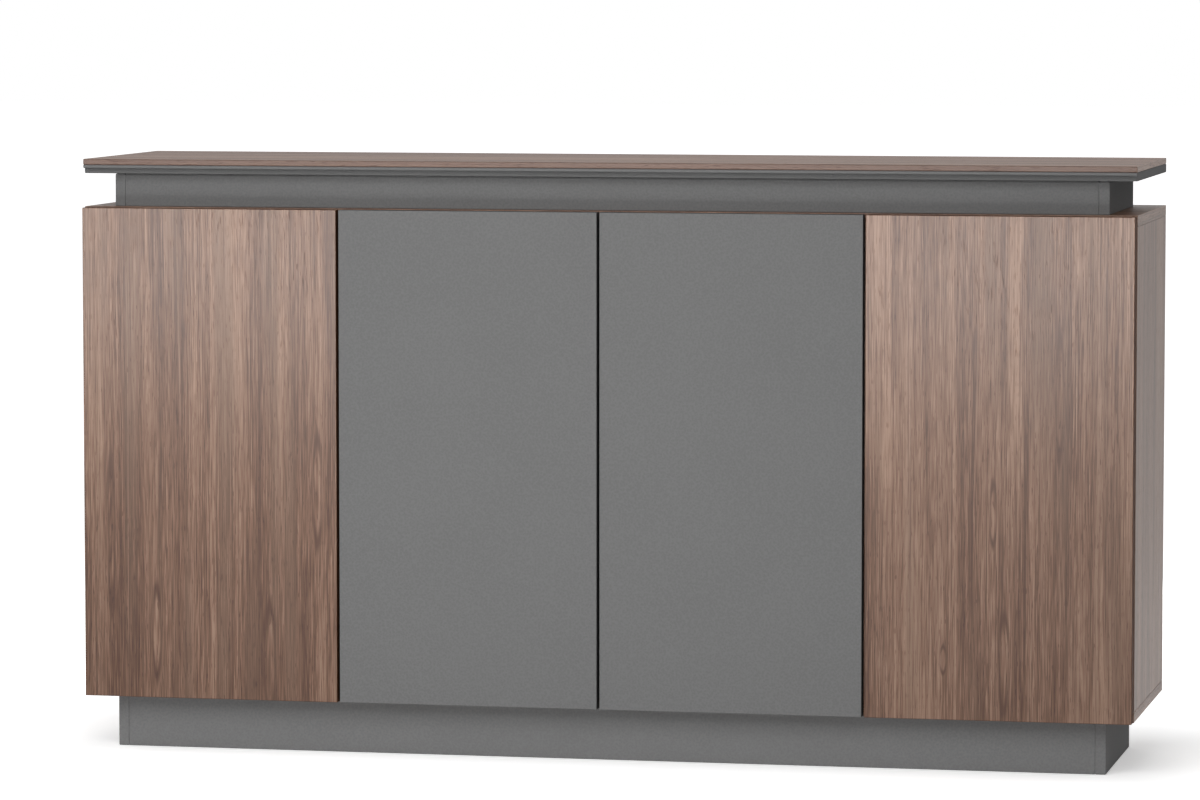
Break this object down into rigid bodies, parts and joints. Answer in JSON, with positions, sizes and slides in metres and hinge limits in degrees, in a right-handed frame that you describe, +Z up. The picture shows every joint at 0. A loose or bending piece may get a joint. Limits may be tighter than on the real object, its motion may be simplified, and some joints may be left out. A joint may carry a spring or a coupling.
{
  "type": "office credenza",
  "caption": "Low office credenza with flush handleless doors in walnut and grey, on a recessed plinth, with a worktop raised on a recessed riser.",
  "frame": {"origin": "on the floor, under the middle of the cabinet's outer box", "axes": "+Z up, +X along the cabinet to the right seen from the front, doors facing -Y"},
  "size_m": [1.6, 0.4, 0.897],
  "materials": {
    "walnut": "satin walnut decor with straight grain",
    "grey_board": "matte plain grey decor",
    "hinge_steel": "nickel-plated pressed steel",
    "latch_plastic": "moulded grey plastic",
    "pin_steel": "zinc-plated turned steel"
  },
  "bodies": {
    "carcass": {"plinth_left_end": "grey_board", "plinth_right_end": "grey_board", "plinth_front_rail": "grey_board", "plinth_back_rail": "grey_board", "plinth_left_brace": "grey_board", "plinth_right_brace": "grey_board", "carcass_bottom": "walnut", "carcass_top": "walnut", "left_side": "walnut", "right_side": "walnut", "left_partition": "walnut", "right_partition": "walnut", "back_panel": "grey_board", "left_shelf": "walnut", "centre_shelf": "walnut", "right_shelf": "walnut", "left_side_front_shelf_pin": "pin_steel", "left_side_back_shelf_pin": "pin_steel", "left_partition_front_shelf_pin": "pin_steel", "left_partition_back_shelf_pin": "pin_steel", "right_partition_front_shelf_pin": "pin_steel", "right_partition_back_shelf_pin": "pin_steel", "right_side_front_shelf_pin": "pin_steel", "right_side_back_shelf_pin": "pin_steel", "left_outer_upper_hinge_arm": "hinge_steel", "left_outer_lower_hinge_arm": "hinge_steel", "left_inner_upper_hinge_arm": "hinge_steel", "left_inner_lower_hinge_arm": "hinge_steel", "right_inner_upper_hinge_arm": "hinge_steel", "right_inner_lower_hinge_arm": "hinge_steel", "right_outer_upper_hinge_arm": "hinge_steel", "right_outer_lower_hinge_arm": "hinge_steel", "left_outer_latch_housing": "latch_plastic", "left_inner_latch_housing": "latch_plastic", "right_inner_latch_housing": "latch_plastic", "right_outer_latch_housing": "latch_plastic", "riser_left_end": "grey_board", "riser_right_end": "grey_board", "riser_front_rail": "grey_board", "riser_back_rail": "grey_board", "riser_left_brace": "grey_board", "riser_right_brace": "grey_board", "worktop_underboard": "grey_board", "worktop_board": "walnut"},
    "left_outer_leaf": {"left_outer_door": "walnut", "left_outer_upper_hinge_cup": "hinge_steel", "left_outer_lower_hinge_cup": "hinge_steel"},
    "left_inner_leaf": {"left_inner_door": "grey_board", "left_inner_upper_hinge_cup": "hinge_steel", "left_inner_lower_hinge_cup": "hinge_steel"},
    "right_inner_leaf": {"right_inner_door": "grey_board", "right_inner_upper_hinge_cup": "hinge_steel", "right_inner_lower_hinge_cup": "hinge_steel"},
    "right_outer_leaf": {"right_outer_door": "walnut", "right_outer_upper_hinge_cup": "hinge_steel", "right_outer_lower_hinge_cup": "hinge_steel"},
    "left_outer_plunger": {"left_outer_latch_plunger": "latch_plastic"},
    "left_inner_plunger": {"left_inner_latch_plunger": "latch_plastic"},
    "right_inner_plunger": {"right_inner_latch_plunger": "latch_plastic"},
    "right_outer_plunger": {"right_outer_latch_plunger": "latch_plastic"}
  },
  "joints": [
    {"name": "left_outer_hinge", "type": "hinge", "parent": "carcass", "child": "left_outer_leaf", "pos_m": [-0.7915, -0.196, 0.45175], "axis": [0, 0, -1], "range_deg": [0, 110]},
    {"name": "left_inner_hinge", "type": "hinge", "parent": "carcass", "child": "left_inner_leaf", "pos_m": [-0.39125, -0.196, 0.45175], "axis": [0, 0, -1], "range_deg": [0, 110]},
    {"name": "right_inner_hinge", "type": "hinge", "parent": "carcass", "child": "right_inner_leaf", "pos_m": [0.39125, -0.196, 0.45175], "axis": [0, 0, 1], "range_deg": [0, 110]},
    {"name": "right_outer_hinge", "type": "hinge", "parent": "carcass", "child": "right_outer_leaf", "pos_m": [0.7915, -0.196, 0.45175], "axis": [0, 0, 1], "range_deg": [0, 110]},
    {"name": "left_outer_latch", "type": "slide", "parent": "carcass", "child": "left_outer_plunger", "axis": [0, -1, 0], "range_m": [0, 0.012]},
    {"name": "left_inner_latch", "type": "slide", "parent": "carcass", "child": "left_inner_plunger", "axis": [0, -1, 0], "range_m": [0, 0.012]},
    {"name": "right_inner_latch", "type": "slide", "parent": "carcass", "child": "right_inner_plunger", "axis": [0, -1, 0], "range_m": [0, 0.012]},
    {"name": "right_outer_latch", "type": "slide", "parent": "carcass", "child": "right_outer_plunger", "axis": [0, -1, 0], "range_m": [0, 0.012]}
  ],
  "couplings": [
    {"joint": "left_outer_latch", "follows": "left_outer_hinge", "m_per_rad": 0.00625},
    {"joint": "left_inner_latch", "follows": "left_inner_hinge", "m_per_rad": 0.00625},
    {"joint": "right_inner_latch", "follows": "right_inner_hinge", "m_per_rad": 0.00625},
    {"joint": "right_outer_latch", "follows": "right_outer_hinge", "m_per_rad": 0.00625}
  ]
}
